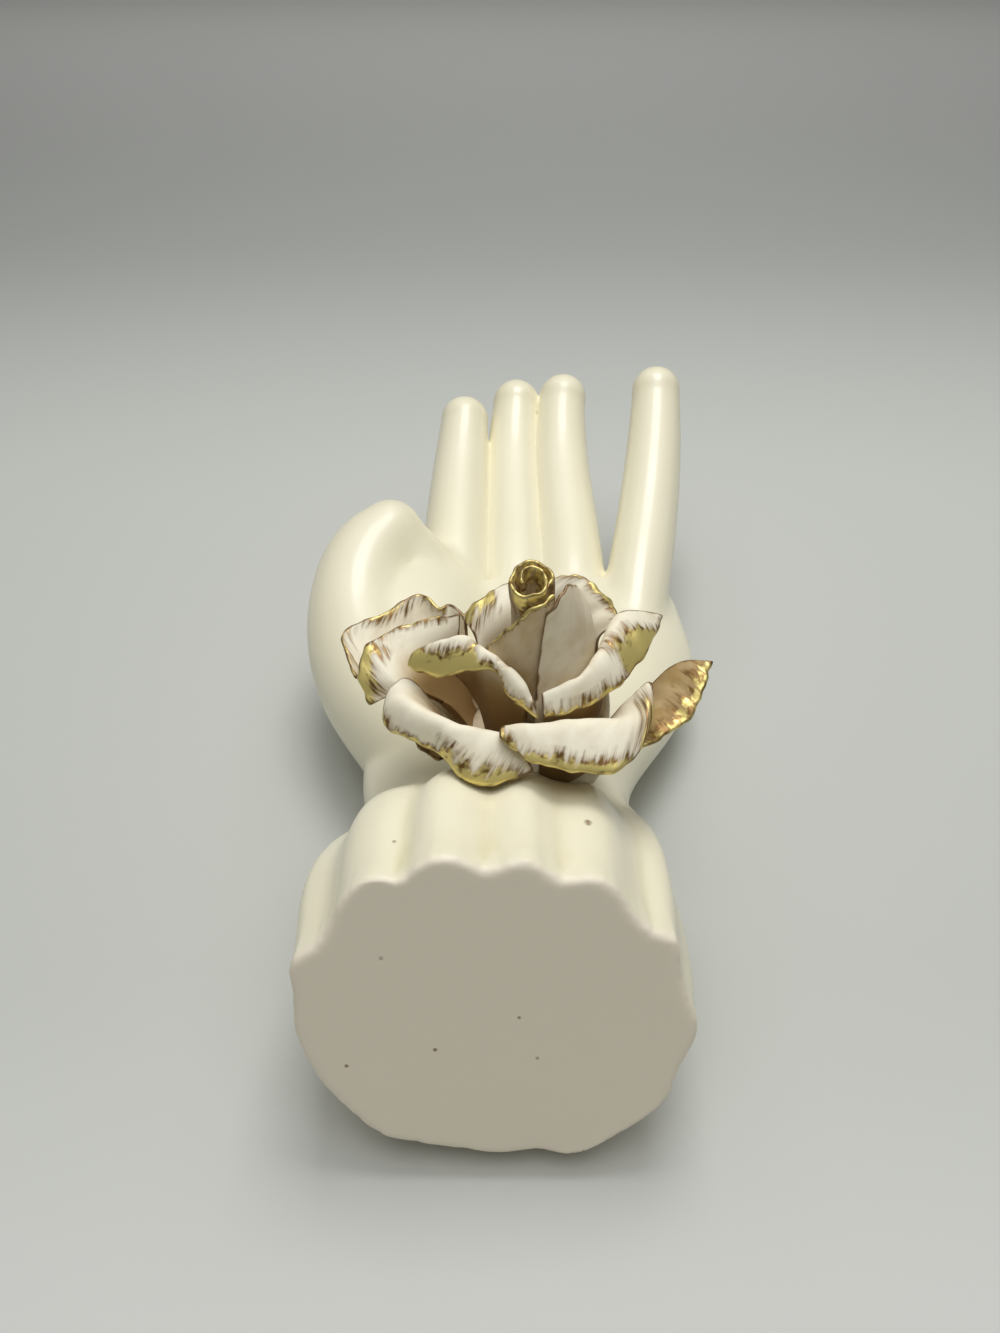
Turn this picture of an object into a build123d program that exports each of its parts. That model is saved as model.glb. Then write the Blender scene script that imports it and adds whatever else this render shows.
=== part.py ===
"""Ceramic left hand with a fluted cuff and a hand-built rose on its wrist, lying on its back.

Frame: +X across the hand to the little finger, +Y from the cuff to the fingertips, +Z up, floor at Z = 0.
All sizes are in millimetres and all angles in degrees.
"""

import os
from math import cos, pi, radians, sin
from typing import NamedTuple

from build123d import *

# Stance of the hand on its back
face_tilt = 17.0  # lean of the base face away from upright
base_run = -93.83  # Y of the base face's centre, which puts the origin under the middle of the hand
base_side = -3.5  # X of the base face's centre

# Cuff and base slab
base_width = 62.0
base_depth = 57.8
slab_thickness = 4.0
slab_edge_radius = 1.0
cuff_wall = 4.5
flute_crests = [-4, 30, 58, 80, 104, 128, 162, 195, 230, 270, 315]  # turns from +X towards the palm side
flute_depth = 1.1  # crest to mean outline on the palm side
flute_depth_back = 0.3  # the same on the side that the hand lies on

# Rose, its petals placed round an upright axis
rose_side = 7.5  # from the base face's centre along X
rose_run = 50.7  # from the base face to the rose's axis
core_lift = 3.5  # from the wrist's palm side up to the widest part of the core that carries the petals
core_radius = 14.0
core_rise = 9.0
core_sink = 10.0  # how far the core's blank reaches below its widest part before it is cut to the wrist
core_foot_radius = 10.5
petal_thickness = 1.2
wrap_thickness = 1.2

# Bud, rolled from one strip and leaning a little towards the cuff
bud_rise = 6.0  # from the core's widest part to the start of the roll
bud_lean_side = -0.04  # run of the bud's axis along X for each millimetre of height
bud_lean_run = -0.045
roll_height = 33.7
roll_turns = 1.2
roll_radius = 3.4
roll_pitch = 1.6  # spacing of the roll's turns
roll_thickness = 1.0
roll_points = 24
roll_start = 40.0  # where the strip's outer end lies, turned from +X towards the cuff
roll_slope = 16.0  # slant of the roll's open end towards the cuff

# The cuff's lower rim rests on the floor
rim_height = (base_depth / 2 + flute_depth_back) * cos(radians(face_tilt))
base_height = rim_height + slab_thickness * sin(radians(face_tilt))
base_centre = Vector(base_side, base_run, base_height)


class Station(NamedTuple):
    """A cross-section of the hand: where it stands, how wide it is and how high its back and palm are."""

    run: float  # from the base face's centre along Y
    side: float  # from the base face's centre along X
    half_width: float
    back: float  # height of the back of the hand above the floor
    palm: float  # height of the palm above the floor
    tilt: float
    flute: float  # share of the full flute depth


cuff_top = 2 * rim_height
cuff_stations = [
    Station(15.0, 0.0, 31.9, 0.4, cuff_top - 2.3, 15.0, 1.0),
    Station(27.5, 0.6, 30.8, 0.9, 50.0, 12.0, 1.0),
    Station(37.7, 2.0, 28.6, 1.6, 42.5, 9.0, 0.75),
]
wrist = Station(48.7, 1.4, 26.6, 2.2, 36.5, 6.0, 0.2)
palm_stations = [
    Station(65.7, 1.8, 29.8, 1.4, 34.5, 3.0, 0.0),
    Station(84.7, 8.4, 34.8, 0.5, 33.0, 0.0, 0.0),
    Station(104.7, 12.9, 35.4, 1.2, 31.5, -4.0, 0.0),
    Station(123.7, 15.5, 30.5, 9.0, 30.0, -8.0, 0.0),
]
hollow_palm = palm_stations[:2]  # the hollow ends at mid palm

# Fingers
tip_swell = 0.3  # how much fuller a fingertip's ball is than the finger behind it
tip_setback = 1.2  # from the last joint back to the ball's centre


class Joint(NamedTuple):
    """A point on a finger's centreline, from the base face's centre, and the finger's radius there."""

    side: float
    run: float
    height: float
    radius: float


fingers = {
    "index": [
        Joint(-9.5, 105.7, 17.0, 9.0),
        Joint(-10.6, 141.7, 26.5, 8.2),
        Joint(-10.0, 163.7, 34.0, 7.3),
        Joint(-9.0, 182.2, 43.0, 6.0),
    ],
    "middle": [
        Joint(5.0, 109.7, 17.0, 9.0),
        Joint(5.1, 148.7, 26.5, 7.8),
        Joint(5.0, 171.7, 34.0, 7.1),
        Joint(5.9, 190.7, 44.3, 6.0),
    ],
    "ring": [
        Joint(18.5, 108.7, 18.0, 8.9),
        Joint(19.4, 147.7, 28.0, 7.7),
        Joint(18.5, 169.7, 35.0, 7.1),
        Joint(19.4, 190.2, 46.2, 6.0),
    ],
    "little": [
        Joint(31.0, 99.7, 17.0, 8.6),
        Joint(38.9, 137.7, 31.0, 7.6),
        Joint(42.6, 159.7, 40.5, 7.0),
        Joint(44.7, 180.0, 53.1, 5.9),
    ],
    "thumb": [
        Joint(-12.0, 58.0, 19.0, 10.5),
        Joint(-27.5, 87.5, 24.0, 12.4),
        Joint(-32.8, 104.2, 30.0, 11.1),
        Joint(-31.5, 117.2, 35.5, 10.2),
        Joint(-25.0, 126.2, 40.8, 7.6),
    ],
}


def place(side, run, height):
    """A point from its distances along the hand, measured from the base face's centre and the floor."""
    return Vector(base_side + side, base_run + run, height)


def cross_plane(centre, tilt):
    """The plane across the hand at a point, its normal towards the cuff's end and its Y axis up."""
    return Plane(origin=centre, x_dir=(1, 0, 0), z_dir=(0, -cos(radians(tilt)), sin(radians(tilt))))


def station_plane(station):
    return cross_plane(place(station.side, station.run, (station.back + station.palm) / 2), station.tilt)


flute_steps = 4  # points from one crest to the next


def flute_ring_turns():
    """The ring's turns with the share of a flute at each: 0 on a crest, a half in the notch after it."""
    turns = []
    for crest, after in zip(flute_crests, flute_crests[1:] + [flute_crests[0] + 360]):
        for k in range(flute_steps):
            turns.append((crest + (after - crest) * k / flute_steps, k / flute_steps))
    return turns


def fluted_ring(half_width, half_depth, share):
    """A fluted oval with the flutes deepest on the palm side."""
    ring = []
    parameters = []
    for turn, flute in flute_ring_turns():
        across = cos(radians(turn))
        up = sin(radians(turn))
        depth = share * (flute_depth_back + (flute_depth - flute_depth_back) * (1 + up) / 2)
        wave = depth * cos(2 * pi * flute)
        ring.append(((half_width + wave) * across, (half_depth + wave) * up))
        parameters.append(turn / 360)
    parameters.append(parameters[0] + 1)
    return Edge.make_spline(ring, periodic=True, parameters=parameters)


def half_depth(station):
    return (station.palm - station.back) / 2 / cos(radians(station.tilt))


base_plane = cross_plane(base_centre, face_tilt)
slab_top = base_plane.offset(-slab_thickness)
base_ring = fluted_ring(base_width / 2, base_depth / 2, 1.0)


def finger_planes(joints):
    """The planes square to a finger's centreline at its joints."""
    points = [place(joint.side, joint.run, joint.height) for joint in joints]
    planes = []
    for k, point in enumerate(points):
        before = points[max(k - 1, 0)]
        after = points[min(k + 1, len(points) - 1)]
        planes.append(Plane(origin=point, x_dir=(1, 0, 0), z_dir=after - before))
    return planes


# Hand and cuff: one hollow casting, open at the base
with BuildPart() as hand_shell:
    with BuildSketch(slab_top):
        with BuildLine():
            add(base_ring)
        make_face()
    for station in cuff_stations + [wrist]:
        with BuildSketch(station_plane(station)):
            with BuildLine():
                add(fluted_ring(station.half_width, half_depth(station), station.flute))
            make_face()
    loft()
    for station in [wrist] + palm_stations:
        with BuildSketch(station_plane(station)):
            with BuildLine():
                add(fluted_ring(station.half_width, half_depth(station), station.flute))
            make_face()
    loft()
    for joints in fingers.values():
        for plane, joint in zip(finger_planes(joints), joints):
            with BuildSketch(plane):
                Circle(joint.radius)
        loft()
        with Locations(finger_planes(joints)[-1].offset(-tip_setback).origin):
            Sphere(joints[-1].radius + tip_swell)
    with BuildSketch(slab_top):
        Ellipse(base_width / 2 - cuff_wall, base_depth / 2 - cuff_wall)
    for station in cuff_stations + [wrist]:
        with BuildSketch(station_plane(station)):
            Ellipse(station.half_width - cuff_wall, half_depth(station) - cuff_wall)
    loft(mode=Mode.SUBTRACT)
    for station in [wrist] + hollow_palm:
        with BuildSketch(station_plane(station)):
            Ellipse(station.half_width - cuff_wall, half_depth(station) - cuff_wall)
    loft(mode=Mode.SUBTRACT)

# Base slab: closes the casting, trimmed to the cuff's fluted outline
with BuildPart() as base_slab:
    with BuildSketch(base_plane):
        with BuildLine():
            add(base_ring)
        make_face()
    extrude(amount=-slab_thickness)
    outer_face = base_slab.faces().sort_by(Axis(base_centre, base_plane.z_dir))[-1]
    fillet(outer_face.edges(), slab_edge_radius)


core_height = wrist.palm + core_lift  # floor to the widest part of the core


class Petal(NamedTuple):
    """A petal as a net of points round an upright axis, its heights above the core's widest part."""

    turns: list  # where the columns stand at the foot and the belly
    foot: tuple  # reach from the axis and height
    belly: tuple
    crest: list  # turn, reach and height of each column
    lip: list


petals = {
    "petal_back_left": Petal(
        turns=[96, 110, 124, 138, 152],
        foot=(8.8, 4.5),
        belly=(9.8, 14.0),
        crest=[
            (94, 10.2, 26.6), (110, 10.2, 26.9), (126, 10.4, 26.4),
            (140, 11.2, 25.4), (152, 13.0, 23.0),
        ],
        lip=[
            (90, 13.0, 29.2), (108, 12.6, 29.8), (125, 12.6, 29.8),
            (140, 13.2, 28.8), (154, 15.0, 25.6),
        ],
    ),
    "petal_back_right": Petal(
        turns=[24, 36, 48, 60, 72],
        foot=(8.8, 4.5),
        belly=(10.4, 14.0),
        crest=[
            (22, 13.2, 23.5), (34, 13.1, 25.5), (46, 12.6, 27.0),
            (58, 12.0, 27.8), (71, 11.5, 27.6),
        ],
        lip=[
            (20, 16.0, 24.5), (32, 16.2, 27.0), (45, 15.2, 29.5),
            (58, 14.6, 30.6), (70, 14.0, 30.2),
        ],
    ),
    "petal_right_inner": Petal(
        turns=[276, 300, 325, 348, 368],
        foot=(8.5, 5.0),
        belly=(11.6, 14.0),
        crest=[
            (272, 12.1, 22.8), (299, 12.0, 24.0), (326, 12.1, 25.4),
            (350, 13.2, 27.0), (374, 15.8, 28.4),
        ],
        lip=[
            (273, 15.8, 21.6), (301, 15.9, 22.2), (327, 17.3, 23.6),
            (351, 19.8, 25.4), (375, 24.2, 27.0),
        ],
    ),
    "petal_front_left_inner": Petal(
        turns=[196, 208, 224, 242, 259],
        foot=(8.8, 4.5),
        belly=(10.6, 15.0),
        crest=[
            (191, 18.6, 25.8), (198, 14.6, 27.2), (214, 12.0, 27.2),
            (240, 11.8, 26.4), (265, 14.0, 23.8),
        ],
        lip=[
            (193, 22.8, 24.2), (204, 18.6, 24.6), (224, 15.4, 25.2),
            (247, 15.2, 23.8), (268, 16.2, 21.6),
        ],
    ),
    "petal_left": Petal(
        turns=[154, 165, 176, 185, 193],
        foot=(11.4, 3.0),
        belly=(15.0, 11.5),
        crest=[
            (152, 15.4, 22.8), (163, 20.0, 22.4), (174, 25.0, 21.6),
            (186, 26.8, 20.2), (192, 25.6, 17.6),
        ],
        lip=[
            (148, 15.9, 25.0), (160, 21.9, 24.2), (172, 29.2, 22.4),
            (184, 31.3, 20.0), (192, 29.8, 15.8),
        ],
    ),
    "petal_left_outer": Petal(
        turns=[138, 147, 156, 165, 173, 180],
        foot=(12.8, 1.0),
        belly=(16.6, 7.5),
        crest=[
            (141, 17.5, 17.8), (144, 21.5, 18.0), (151, 25.0, 18.1),
            (162, 28.5, 18.3), (172, 29.2, 17.6), (181, 28.4, 16.2),
        ],
        lip=[
            (139, 18.5, 22.5), (141, 24.5, 22.8), (148, 29.0, 22.6),
            (162, 33.3, 22.0), (173, 34.2, 20.6), (182, 32.2, 17.8),
        ],
    ),
    "petal_front_left": Petal(
        turns=[204, 217, 230, 244, 257],
        foot=(13.4, 4.0),
        belly=(17.0, 11.0),
        crest=[
            (195, 23.4, 21.0), (210, 24.0, 20.6), (224, 22.2, 20.2),
            (240, 20.0, 19.4), (257, 17.4, 17.8),
        ],
        lip=[
            (198, 27.6, 18.8), (212, 27.4, 16.2), (228, 25.4, 15.6),
            (246, 25.0, 14.6), (266, 21.6, 14.4),
        ],
    ),
    "petal_front_right": Petal(
        turns=[268, 276, 285, 296, 308, 320],
        foot=(13.0, 3.0),
        belly=(14.8, 13.0),
        crest=[
            (250, 18.2, 21.2), (266, 17.8, 21.0), (282, 18.3, 20.8),
            (298, 20.2, 20.9), (314, 22.4, 21.4), (332, 20.8, 22.2),
        ],
        lip=[
            (251, 20.8, 19.6), (265, 21.8, 18.2), (280, 23.8, 17.2),
            (296, 26.4, 17.4), (313, 26.2, 19.8), (333, 23.2, 23.0),
        ],
    ),
    "petal_right": Petal(
        turns=[322, 329, 336, 345, 353],
        foot=(12.8, 1.0),
        belly=(16.4, 7.5),
        crest=[
            (316, 19.4, 14.2), (326, 21.6, 15.9), (336, 23.4, 18.0),
            (346, 24.6, 20.2), (355, 25.0, 22.4),
        ],
        lip=[
            (314, 22.9, 15.0), (325, 25.7, 16.6), (335, 28.5, 19.0),
            (345, 29.4, 21.6), (354, 30.4, 23.7),
        ],
    ),
    "petal_under_left": Petal(
        turns=[196, 202, 208, 214, 221],
        foot=(13.0, 0.5),
        belly=(16.6, 4.5),
        crest=[
            (196, 21.3, 11.1), (202, 21.1, 10.9), (208, 20.7, 10.7),
            (214, 20.4, 10.5), (221, 20.0, 10.4),
        ],
        lip=[
            (196, 24.4, 12.6), (202, 24.4, 12.4), (208, 24.1, 12.0),
            (214, 23.3, 11.6), (221, 22.2, 11.1),
        ],
    ),
}
# Petals whose feet also reach the cuff
petals_on_cuff = ["petal_front_left", "petal_front_right", "petal_under_left"]
wraps = {
    "bud_wrap_left": Petal(
        turns=[196, 218, 243, 271, 302],
        foot=(5.3, 6.5),
        belly=(7.6, 18.0),
        crest=[
            (194, 8.7, 22.0), (214, 7.8, 24.7), (240, 6.6, 27.5),
            (270, 5.5, 30.0), (304, 5.0, 32.0),
        ],
        lip=[
            (192, 8.6, 25.5), (208, 7.4, 29.4), (232, 5.8, 33.6),
            (266, 4.7, 37.4), (308, 4.4, 39.0),
        ],
    ),
    "bud_wrap_right": Petal(
        turns=[270, 292, 316, 342, 368],
        foot=(8.0, 6.0),
        belly=(9.6, 18.0),
        crest=[
            (280, 7.5, 28.0), (307, 7.9, 29.8), (334, 8.7, 30.4),
            (361, 9.6, 30.0), (386, 10.0, 27.0),
        ],
        lip=[
            (302, 6.5, 36.4), (327, 6.3, 38.6), (352, 6.4, 39.0),
            (379, 7.6, 36.6), (406, 9.4, 31.4),
        ],
    ),
}


def net_face(petal, lean_side=0.0, lean_run=0.0):
    """The middle surface of a petal, from its foot to its lip."""
    rows = [
        [(turn, *petal.foot) for turn in petal.turns],
        [(turn, *petal.belly) for turn in petal.turns],
        petal.crest,
        petal.lip,
    ]
    net = []
    for row in rows:
        points = []
        for turn, reach, height in row:
            side = rose_side + lean_side * (height - bud_rise) + reach * cos(radians(turn))
            run = rose_run + lean_run * (height - bud_rise) + reach * sin(radians(turn))
            points.append(place(side, run, core_height + height))
        net.append(points)
    return Face.make_surface_from_array_of_points(net)


# Core: the rounded wad of clay on the wrist that the petals are pressed onto
core_plane = Plane(origin=place(rose_side, rose_run, core_height))
core_profile = Plane(origin=core_plane.origin, x_dir=(1, 0, 0), z_dir=(0, -1, 0))
with BuildPart() as rose_core:
    with BuildSketch(core_profile):
        with BuildLine():
            EllipticalCenterArc((0, 0), core_radius, core_rise, start_angle=0, arc_size=90)
            Polyline((0, core_rise), (0, -core_sink), (core_foot_radius, -core_sink), (core_radius, 0))
        make_face()
    revolve(axis=Axis(core_plane.origin, (0, 0, 1)))
    add(hand_shell.part, mode=Mode.SUBTRACT)
    add(rose_core.solids().sort_by(Axis.Z)[-1], mode=Mode.REPLACE)

# Bud roll: a strip rolled up on itself, its open end cut on the slant
bud_axis = Vector(bud_lean_side, bud_lean_run, 1).normalized()
bud_centre = place(rose_side, rose_run, core_height + bud_rise)
bud_plane = Plane(origin=bud_centre, x_dir=(1, 0, 0), z_dir=bud_axis)
bud_end = Plane(
    origin=bud_plane.origin + bud_axis * roll_height,
    x_dir=(1, 0, 0),
    z_dir=(0, -sin(radians(roll_slope)), cos(radians(roll_slope))),
)
roll_outside = []
roll_inside = []
for k in range(roll_points + 1):
    turn = 2 * pi * roll_turns * k / roll_points - radians(roll_start)
    reach = roll_radius - roll_pitch * roll_turns * k / roll_points
    roll_outside.append((reach * cos(turn), reach * sin(turn)))
    roll_inside.append(((reach - roll_thickness) * cos(turn), (reach - roll_thickness) * sin(turn)))
with BuildPart() as bud_roll:
    with BuildSketch(bud_plane):
        with BuildLine():
            Spline(*roll_outside)
            Line(roll_outside[-1], roll_inside[-1])
            Spline(*roll_inside)
            Line(roll_inside[0], roll_outside[0])
        make_face()
    extrude(amount=roll_height + roll_radius)
    split(bisect_by=bud_end, keep=Keep.BOTTOM)
    add(rose_core.part, mode=Mode.SUBTRACT)

pieces = {"hand_shell": hand_shell, "base_slab": base_slab, "rose_core": rose_core, "bud_roll": bud_roll}

for name, petal in petals.items():
    with BuildPart() as blade:
        thicken(net_face(petal), amount=petal_thickness / 2, both=True)
        add(rose_core.part, mode=Mode.SUBTRACT)
        if name in petals_on_cuff:
            add(hand_shell.part, mode=Mode.SUBTRACT)
    pieces[name] = blade
for name, petal in wraps.items():
    with BuildPart() as blade:
        thicken(net_face(petal, bud_lean_side, bud_lean_run), amount=wrap_thickness / 2, both=True)
        add(rose_core.part, mode=Mode.SUBTRACT)
    pieces[name] = blade

os.makedirs("parts", exist_ok=True)
for name, piece in pieces.items():
    piece.part.label = name
    export_step(piece.part, f"parts/{name}.step")
    print(name, len(piece.part.solids()), round(piece.part.volume), piece.part.bounding_box())
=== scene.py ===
"""Looks of a glazed ceramic hand that lies on its back and carries a gilded bisque rose on its wrist.

Laid out as an add-on and run as a script. Sizes in the tables are millimetres in the frame of the
solids: +X to the little finger, +Y to the fingertips, +Z up, floor at zero.
"""

import math

import bmesh
import bpy
import numpy as np
from bpy.props import FloatProperty, FloatVectorProperty, IntProperty, PointerProperty
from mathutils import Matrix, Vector


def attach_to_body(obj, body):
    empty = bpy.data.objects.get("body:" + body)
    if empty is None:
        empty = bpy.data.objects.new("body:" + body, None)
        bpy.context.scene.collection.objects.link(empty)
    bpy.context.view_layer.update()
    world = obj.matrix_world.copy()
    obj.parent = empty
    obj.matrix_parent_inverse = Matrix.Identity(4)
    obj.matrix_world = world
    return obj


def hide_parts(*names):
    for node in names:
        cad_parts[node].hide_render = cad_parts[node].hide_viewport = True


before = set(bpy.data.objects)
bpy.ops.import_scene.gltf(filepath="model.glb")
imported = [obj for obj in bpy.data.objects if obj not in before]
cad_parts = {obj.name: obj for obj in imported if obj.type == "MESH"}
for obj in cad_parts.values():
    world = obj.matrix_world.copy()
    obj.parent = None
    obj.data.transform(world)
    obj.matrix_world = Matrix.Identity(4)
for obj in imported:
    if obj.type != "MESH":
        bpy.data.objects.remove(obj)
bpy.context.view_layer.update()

bl_info = {
    "name": "Gilded Rose Hand",
    "version": (1, 0, 0),
    "blender": (4, 5, 0),
    "location": "View3D > Sidebar > Rose Hand",
    "description": "Models a ceramic hand with a fluted cuff and a gilded bisque rose",
    "category": "Add Mesh",
}

mm = 0.001


def from_srgb(red, green, blue):
    """A linear colour from the three bytes of a screen colour."""
    linear = []
    for byte in (red, green, blue):
        share = byte / 255
        linear.append(share / 12.92 if share <= 0.04045 else ((share + 0.055) / 1.055) ** 2.4)
    return tuple(linear)


# Properties


class CastingProps(bpy.types.PropertyGroup):
    """Sizes and colours of the glazed hand and its base"""

    grain: FloatProperty(
        name="Grain", description="Spacing of the skin's points", default=0.75 * mm, unit="LENGTH"
    )
    first_softening: IntProperty(
        name="First Softening",
        description="Rounds of smoothing over the whole skin",
        default=3,
        min=0,
    )
    softening: IntProperty(
        name="Softening",
        description="Rounds of smoothing away from the base's edge",
        default=10,
        min=0,
    )
    knuckle_softening: IntProperty(
        name="Knuckle Softening",
        description="Rounds of smoothing where the fingers leave the palm",
        default=34,
        min=0,
    )
    finger_fullness: FloatProperty(
        name="Finger Fullness",
        description="Glaze and clay added round the fingers",
        default=0.55 * mm,
        unit="LENGTH",
    )
    thumb_fullness: FloatProperty(
        name="Thumb Fullness",
        description="Glaze and clay added round the thumb",
        default=0.4 * mm,
        unit="LENGTH",
    )
    web_softening: IntProperty(
        name="Web Softening",
        description="Rounds of smoothing between thumb and palm",
        default=130,
        min=0,
    )
    cream: FloatVectorProperty(
        name="Cream",
        description="Glaze where it lies thin",
        subtype="COLOR",
        default=from_srgb(245, 239, 211),
    )
    # Pooled glaze in the creases; this colour also stands in for painted crease shade
    pooled_and_shaded: FloatVectorProperty(
        name="Pooled",
        description="Glaze where it has run thick",
        subtype="COLOR",
        default=from_srgb(226, 217, 176),
    )
    wiped: FloatVectorProperty(
        name="Wiped",
        description="Base face, wiped before firing",
        subtype="COLOR",
        default=from_srgb(246, 236, 214),
    )
    speck: FloatVectorProperty(
        name="Speck",
        description="Iron specks in the glaze",
        subtype="COLOR",
        default=from_srgb(138, 112, 72),
    )


class RoseProps(bpy.types.PropertyGroup):
    """Sizes and colours of the rose"""

    petal_thickness: FloatProperty(
        name="Petal Thickness",
        description="Clay at a petal's middle",
        default=1.3 * mm,
        unit="LENGTH",
    )
    rim_share: FloatProperty(
        name="Rim Share",
        description="Thickness at the rim over that at the middle",
        default=0.55,
        subtype="FACTOR",
    )
    ruffle: FloatProperty(
        name="Ruffle",
        description="How far the rims wave in and out",
        default=0.45 * mm,
        unit="LENGTH",
    )
    nibble: FloatProperty(
        name="Nibble",
        description="How uneven the rims' outlines are",
        default=0.35 * mm,
        unit="LENGTH",
    )
    bisque: FloatVectorProperty(
        name="Bisque",
        description="Bare fired clay",
        subtype="COLOR",
        default=from_srgb(251, 244, 221),
    )
    # Colour of the painted shade at the petals' feet, and also of tan clay and grime
    bisque_shade: FloatVectorProperty(
        name="Bisque Shade",
        description="Clay tan, and in painted shade",
        subtype="COLOR",
        default=from_srgb(184, 154, 100),
    )
    gold: FloatVectorProperty(
        name="Gold", description="Thick lustre", subtype="COLOR", default=from_srgb(240, 221, 138)
    )
    # Deep gold, and also the colour of the deepest painted shade at the petals' feet
    deep_gold_and_shade: FloatVectorProperty(
        name="Deep Gold",
        description="Thin lustre over clay",
        subtype="COLOR",
        default=from_srgb(128, 95, 48),
    )
    rim_line: FloatVectorProperty(
        name="Rim Line",
        description="Burnt line on the very edge",
        subtype="COLOR",
        default=from_srgb(104, 78, 42),
    )


class StageProps(bpy.types.PropertyGroup):
    """Floor, light and camera"""

    # The floor colours make a painted gradient of light: lighter before the base to offset the lamp's
    # shadow there, a band of painted shade behind the fingers, lighter again far behind
    floor_near: FloatVectorProperty(
        name="Near Floor",
        description="Paper under the hand",
        subtype="COLOR",
        default=from_srgb(199, 201, 195),
    )
    floor_front_light: FloatVectorProperty(
        name="Front Floor",
        description="Paper before the base",
        subtype="COLOR",
        default=from_srgb(214, 215, 210),
    )
    floor_behind_shade: FloatVectorProperty(
        name="Floor Behind",
        description="Paper behind the fingers",
        subtype="COLOR",
        default=from_srgb(170, 172, 168),
    )
    floor_far: FloatVectorProperty(
        name="Far Floor",
        description="Paper far behind the hand",
        subtype="COLOR",
        default=from_srgb(236, 237, 232),
    )
    ceiling_power: FloatProperty(
        name="Ceiling Power",
        description="Broad panel overhead",
        default=7.0,
        unit="POWER",
    )
    lamp_power: FloatProperty(
        name="Lamp Power",
        description="Small softbox overhead",
        default=2.15,
        unit="POWER",
    )
    front_power: FloatProperty(
        name="Front Power",
        description="Panel high in front",
        default=1.7,
        unit="POWER",
    )
    room_level: FloatProperty(
        name="Room Level",
        description="Soft light from all round",
        default=0.11,
    )
    camera_place: FloatVectorProperty(
        name="Camera Place",
        description="Where the camera stands",
        subtype="TRANSLATION",
        unit="LENGTH",
        default=(-2.39 * mm, -178.33 * mm, 173.1 * mm),
    )
    camera_pitch: FloatProperty(
        name="Camera Pitch",
        description="Tilt below level",
        default=math.radians(40),
        subtype="ANGLE",
        unit="ROTATION",
    )
    camera_lens: FloatProperty(
        name="Camera Lens",
        description="Focal length in millimetres",
        default=27.03,
    )


# Tables of the casting

base_centre = Vector((-3.5, -93.83, 29.09)) * mm
base_tilt = math.radians(17)
base_normal = Vector((0, -math.cos(base_tilt), math.sin(base_tilt)))
base_up = Vector((0, math.sin(base_tilt), math.cos(base_tilt)))
slab_thickness = 4.0 * mm
weld_gap = 0.01 * mm

# Outline of the cuff's rim, seen from its end: turn in degrees and reach
rim_outline = [
    (1.5, 31.5), (7.9, 30.5), (14.5, 30.2), (20.7, 30.7), (25.4, 31.4), (28.8, 31.5), (31.2, 30.7),
    (34.6, 29.3), (39.1, 29.0), (44.4, 29.2), (49.3, 29.9), (53.8, 30.7), (57.5, 30.8), (61.3, 30.2),
    (64.7, 29.1), (68.6, 28.2), (73.3, 28.7), (77.5, 29.6), (81.2, 29.8), (84.4, 29.4), (88.3, 28.4),
    (92.8, 28.1), (96.2, 29.2), (99.8, 30.3), (103.4, 30.9), (107.1, 31.2), (111.4, 30.7), (115.4, 29.7),
    (118.9, 29.8), (121.6, 31.0), (125.0, 31.9), (129.2, 32.2), (133.6, 31.9), (137.8, 31.3), (142.5, 30.4),
    (148.6, 30.0), (152.4, 30.4), (156.6, 31.5), (159.2, 32.3), (164.2, 32.4), (171.1, 31.3), (177.3, 31.1),
    (183.6, 31.2), (190.2, 31.0), (197.1, 30.8), (204.3, 30.8), (209.8, 30.6), (216.6, 30.5), (222.6, 30.5),
    (228.9, 30.9), (234.2, 30.9), (238.7, 30.4), (243.9, 29.5), (251.8, 28.8), (261.1, 28.5), (270.5, 28.8),
    (277.4, 29.0), (284.3, 29.0), (287.4, 29.7), (292.0, 31.0), (297.1, 31.8), (303.1, 31.8), (310.6, 31.9),
    (318.0, 32.3), (325.1, 32.5), (332.6, 32.3), (336.5, 31.8), (342.0, 31.6), (346.7, 31.9), (351.0, 32.3),
    (356.0, 32.2),
]

# Where the plain rim is measured: depths behind the base face, step and half width of each turn
rim_band = (1.2 * mm, 3.6 * mm)
rim_step = 3
rim_window = 2.0

# The cuff's middle along its run: run from the base, side and height
cuff_centres = [
    (0.0, 0.0, 29.1), (15.0, 0.0, 27.0), (27.5, 0.6, 25.5), (37.7, 2.0, 22.1), (48.7, 1.4, 19.4),
]
cuff_length = 46.0 * mm
lobe_fade = (0.45 * cuff_length, 1.1 * cuff_length)

# How far the rim's lower side stands clear of the floor, and where that fades out
rim_lift = 3.8 * mm
rim_height = 58 * mm
lift_fade = (8 * mm, 40 * mm)
lift_forward = 0.45
forward_fade = (2 * mm, 10 * mm)

# Where the base face is levelled: depths, and shares of the rim's reach
face_depths = (1.0 * mm, 1.6 * mm)
face_shares = (0.92, 0.96)

# Depths behind the base face over which smoothing sets in, hollows count and the wiped clay ends
smooth_depths = (2.0 * mm, 9.0 * mm)
hollow_depths = (0.5 * mm, 3.0 * mm)
wiped_depths = (0.3 * mm, 1.3 * mm)

# Runs between which the knuckles are smoothed, and where fingers and thumb grow fuller
knuckle_start = (6.0 * mm, 18.0 * mm)
knuckle_end = (42.0 * mm, 58.0 * mm)
finger_start = (18 * mm, 42 * mm)
thumb_side = (12 * mm, 24 * mm)
thumb_start = (-25 * mm, -5 * mm)
thumb_end = (40 * mm, 50 * mm)

# Soft swellings and hollows of the palm: place, radius and height
swellings = [
    ((9.0, 8.0, 33.0), 17.0, -2.6),
    ((-17.0, -14.0, 33.0), 15.0, 1.6),
    ((32.0, -8.0, 28.0), 15.0, 1.0),
]

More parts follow.
